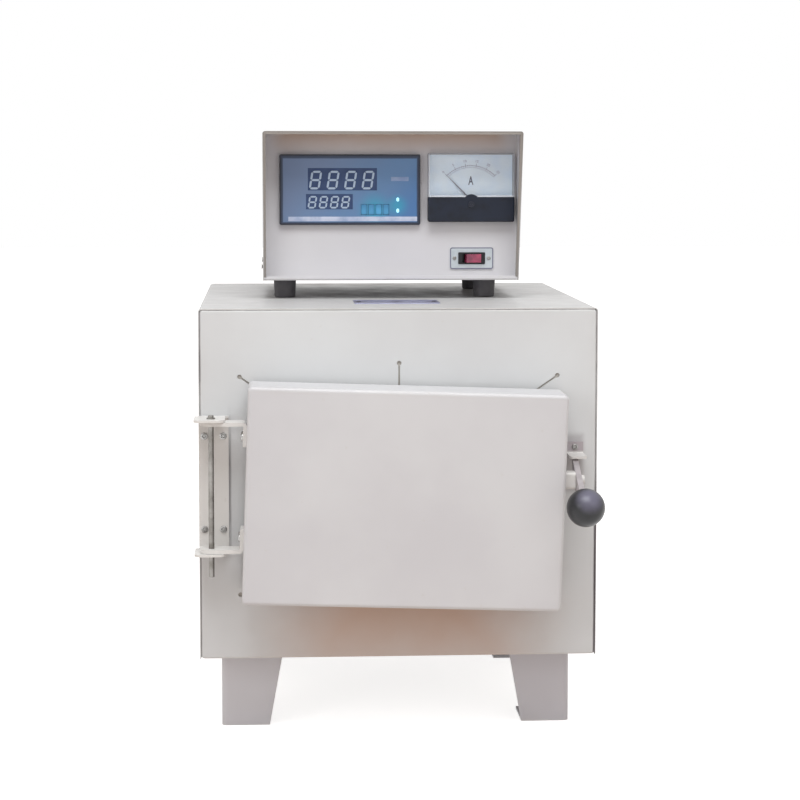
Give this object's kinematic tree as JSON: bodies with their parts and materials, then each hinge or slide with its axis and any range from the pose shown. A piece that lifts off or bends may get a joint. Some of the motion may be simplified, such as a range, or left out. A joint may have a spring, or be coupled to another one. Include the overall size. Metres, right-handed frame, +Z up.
{
  "type": "box furnace with controller",
  "caption": "Bench box furnace on sheet legs with a hinged plug door, ball-handled latch and a separate controller with display, ammeter and rocker switch on top.",
  "frame": {"origin": "on the floor under the middle of the whole object's outline in plan; X is 0 at the furnace casing's middle", "axes": "+X to the right seen from the front, -Y towards the door and +Y towards the back, +Z up from the floor"},
  "size_m": [0.434, 0.61, 0.6563],
  "materials": {
    "casing_paint": "satin",
    "front_paint": "satin",
    "door_paint": "satin",
    "leg_paint": "satin",
    "hinge_paint": "satin",
    "zinc_steel": "satin",
    "bare_steel": "satin",
    "muffle_ceramic": "matte",
    "fire_brick": "matte",
    "fibre": "matte",
    "element_wire": "matte",
    "sheath": "matte",
    "white_ceramic": "satin",
    "black_nylon": "matte",
    "black_phenolic": "gloss",
    "case_paint": "satin",
    "foot_rubber": "matte",
    "bezel_plastic": "satin",
    "face_film": "satin",
    "display_lens": "gloss",
    "key_plastic": "satin",
    "meter_black": "satin",
    "dial_white": "matte",
    "meter_clear": "gloss",
    "needle": "matte",
    "zero_plastic": "matte",
    "plate_metal": "satin",
    "switch_black": "satin",
    "switch_red": "gloss",
    "sink_aluminium": "satin",
    "module_plastic": "matte",
    "strip_plastic": "matte"
  },
  "bodies": {
    "furnace": {"casing_shell": "casing_paint", "front_panel": "front_paint", "back_panel": "casing_paint", "base_plate": "casing_paint", "leg_front_left": "leg_paint", "leg_front_right": "leg_paint", "leg_rear_left": "leg_paint", "leg_rear_right": "leg_paint", "leg_bolts": "zinc_steel", "muffle": "muffle_ceramic", "heating_elements": "element_wire", "mouth_brick": "fire_brick", "insulation": "fibre", "thermocouple": "sheath", "terminal_block": "white_ceramic", "terminal_cover": "casing_paint", "gland_furnace": "black_nylon", "hinge_bracket": "hinge_paint", "hinge_rod": "bare_steel", "panel_screws": "zinc_steel", "keeper": "hinge_paint"},
    "door": {"door_pan": "door_paint", "door_backing": "door_paint", "door_lining": "fibre", "door_plug": "fire_brick", "door_gasket": "fibre", "door_arm_upper": "hinge_paint", "door_arm_lower": "hinge_paint", "door_rivets": "zinc_steel", "latch_boss": "hinge_paint"},
    "latch": {"latch_lever": "bare_steel", "ball_knob": "black_phenolic"},
    "controller": {"controller_case": "case_paint", "controller_feet": "foot_rubber", "controller_screws": "zinc_steel", "controller_chassis": "case_paint", "controller_panel": "case_paint", "instrument_bezel": "bezel_plastic", "instrument_housing": "bezel_plastic", "instrument_face": "face_film", "displays": "display_lens", "meter_case": "meter_black", "meter_dial": "dial_white", "meter_window": "meter_clear", "meter_cover": "meter_black", "switch_plate": "plate_metal", "switch_body": "switch_black", "heat_sink": "sink_aluminium", "thyristor_module": "module_plastic", "terminal_strip": "strip_plastic", "gland_supply": "black_nylon", "gland_output": "black_nylon"},
    "pointer": {"meter_pointer": "needle"},
    "zero_adjuster": {"zero_screw": "zero_plastic"},
    "rocker": {"rocker": "switch_red"},
    "key_1": {"key_1": "key_plastic"},
    "key_2": {"key_2": "key_plastic"},
    "key_3": {"key_3": "key_plastic"},
    "key_4": {"key_4": "key_plastic"}
  },
  "joints": [
    {"name": "door_swing", "type": "hinge", "parent": "furnace", "child": "door", "pos_m": [-0.201, -0.212, 0.2795], "axis": [0, 0, -1], "range_deg": [0, 150]},
    {"name": "latch_turn", "type": "hinge", "parent": "door", "child": "latch", "pos_m": [0.1873, -0.225, 0.286], "axis": [-1, 0, 0], "range_deg": [0, 55]},
    {"name": "controller_lift", "type": "slide", "parent": "furnace", "child": "controller", "axis": [0, 0, 1], "range_m": [0, 0.06]},
    {"name": "pointer_swing", "type": "hinge", "parent": "controller", "child": "pointer", "pos_m": [0.092, -0.0177, 0.5788], "axis": [0, 1, 0], "range_deg": [0, 90], "stiffness_Nm_per_rad": 0.0002},
    {"name": "zero_turn", "type": "hinge", "parent": "controller", "child": "zero_adjuster", "pos_m": [0.092, -0.025, 0.5738], "axis": [0, 1, 0], "range_deg": [-40, 40]},
    {"name": "rocker_tip", "type": "hinge", "parent": "controller", "child": "rocker", "pos_m": [0.0936, -0.0075, 0.5115], "axis": [0, 0, -1], "range_deg": [0, 24]},
    {"name": "key_1_press", "type": "slide", "parent": "controller", "child": "key_1", "axis": [0, 1, 0], "range_m": [0, 0.0008], "stiffness_N_per_m": 400},
    {"name": "key_2_press", "type": "slide", "parent": "controller", "child": "key_2", "axis": [0, 1, 0], "range_m": [0, 0.0008], "stiffness_N_per_m": 400},
    {"name": "key_3_press", "type": "slide", "parent": "controller", "child": "key_3", "axis": [0, 1, 0], "range_m": [0, 0.0008], "stiffness_N_per_m": 400},
    {"name": "key_4_press", "type": "slide", "parent": "controller", "child": "key_4", "axis": [0, 1, 0], "range_m": [0, 0.0008], "stiffness_N_per_m": 400}
  ]
}
